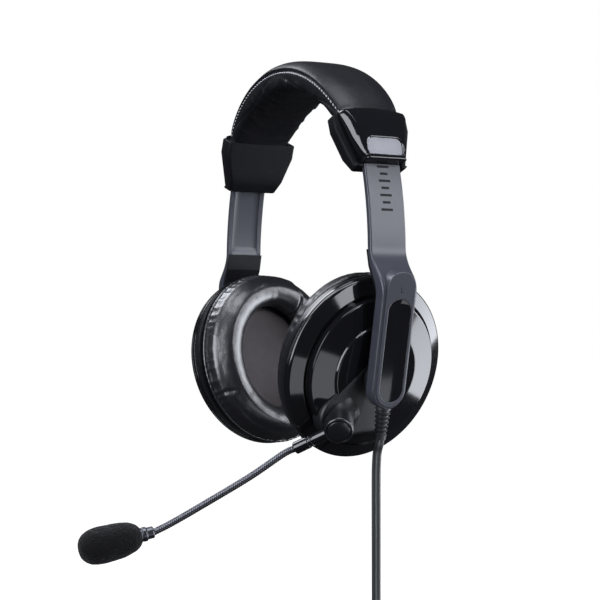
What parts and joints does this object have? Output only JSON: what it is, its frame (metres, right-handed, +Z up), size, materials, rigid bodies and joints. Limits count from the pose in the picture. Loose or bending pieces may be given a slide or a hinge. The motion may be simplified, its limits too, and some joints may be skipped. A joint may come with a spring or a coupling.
{
  "type": "headset with boom microphone",
  "caption": "Over-ear headset: padded sprung headband, sliding arms, tilting ear cups with soft cushions, a swivelling boom microphone with foam windscreen, and a lead with plugs.",
  "frame": {"origin": "underside of the headband pad at its crown, where it rests on the head", "axes": "+Z up, the wearer faces -Y, +X is the wearer's left, the side with the microphone and the lead"},
  "size_m": [0.1842, 0.1816, 0.4742],
  "materials": {
    "leatherette": "soft leatherette over foam",
    "spring_steel": "plain steel",
    "gloss_black": "moulded gloss",
    "matte_black": "fine grained",
    "satin_grey": "satin, bluish grey",
    "speaker_metal": "plain",
    "speaker_cloth": "fine weave",
    "foam": "open foam",
    "gooseneck_metal": "dark, ribbed",
    "bright_metal": "plated",
    "lead_rubber": "smooth"
  },
  "bodies": {
    "headband": {"headband_spring": "spring_steel", "headband_pad": "leatherette", "left_cap_outer": "gloss_black", "left_cap_inner": "gloss_black", "right_cap_outer": "gloss_black", "right_cap_inner": "gloss_black", "cap_screws": "spring_steel"},
    "left_arm": {"left_arm": "satin_grey", "left_arm_insert": "gloss_black", "left_arm_cover": "matte_black", "left_arm_screws": "spring_steel", "strain_relief": "lead_rubber", "cord": "lead_rubber", "cord_hank": "lead_rubber", "hank_tie": "matte_black", "lead_splitter": "lead_rubber", "headphone_lead": "lead_rubber", "microphone_lead": "lead_rubber", "headphone_plug": "bright_metal", "microphone_plug": "bright_metal", "headphone_grip": "lead_rubber", "microphone_grip": "lead_rubber"},
    "right_arm": {"right_arm": "satin_grey", "right_arm_insert": "gloss_black", "right_arm_cover": "matte_black", "right_arm_screws": "spring_steel"},
    "left_pivot": {"left_pivot_bush": "matte_black"},
    "right_pivot": {"right_pivot_bush": "matte_black"},
    "left_cup": {"left_cup_shell": "gloss_black", "left_ball_stud": "spring_steel", "left_baffle": "matte_black", "left_driver": "speaker_metal", "left_speaker_cloth": "speaker_cloth", "left_ear_cushion": "leatherette", "left_cup_screws": "spring_steel", "boom_mount": "gloss_black"},
    "right_cup": {"right_cup_shell": "gloss_black", "right_ball_stud": "spring_steel", "right_baffle": "matte_black", "right_driver": "speaker_metal", "right_speaker_cloth": "speaker_cloth", "right_ear_cushion": "leatherette", "right_cup_screws": "spring_steel"},
    "boom": {"boom_knob": "gloss_black", "knob_cap": "matte_black", "boom_sleeve": "gloss_black", "gooseneck_base": "gooseneck_metal"},
    "mic": {"gooseneck_tip": "gooseneck_metal", "mic_collar": "bright_metal", "mic_housing": "gloss_black", "mic_capsule": "speaker_metal", "windscreen": "foam"}
  },
  "joints": [
    {"name": "left_arm_slide", "type": "hinge", "parent": "headband", "child": "left_arm", "pos_m": [-0.08571, 0, -0.08619], "axis": [0, 1, 0], "range_deg": [-6.37, 1.27]},
    {"name": "right_arm_slide", "type": "hinge", "parent": "headband", "child": "right_arm", "pos_m": [0.08571, 0, -0.08619], "axis": [0, -1, 0], "range_deg": [-5.09, 2.55]},
    {"name": "left_cup_yaw", "type": "hinge", "parent": "left_arm", "child": "left_pivot", "pos_m": [0.07359, 0, -0.14872], "axis": [0.2079, 0, 0.9781], "range_deg": [-16, 4]},
    {"name": "right_cup_yaw", "type": "hinge", "parent": "right_arm", "child": "right_pivot", "pos_m": [-0.07494, 0, -0.14516], "axis": [-0.1861, 0, 0.9825], "range_deg": [-18, 2]},
    {"name": "left_cup_tilt", "type": "hinge", "parent": "left_pivot", "child": "left_cup", "pos_m": [0.07359, 0, -0.14872], "axis": [-0.1022, 0.9945, 0.0217], "range_deg": [-12, 1]},
    {"name": "right_cup_tilt", "type": "hinge", "parent": "right_pivot", "child": "right_cup", "pos_m": [-0.07494, 0, -0.14516], "axis": [0.1367, -0.9903, 0.0259], "range_deg": [-8, 5]},
    {"name": "boom_swivel", "type": "hinge", "parent": "left_cup", "child": "boom", "pos_m": [0.07087, -0.0242, -0.17151], "axis": [-0.7564, 0.4429, 0.4813], "range_deg": [-10, 120]},
    {"name": "mic_bend", "type": "hinge", "parent": "boom", "child": "mic", "pos_m": [0.02687, -0.0772, -0.21101], "axis": [-0.85, 0.5268, 0], "range_deg": [-30, 30]}
  ]
}
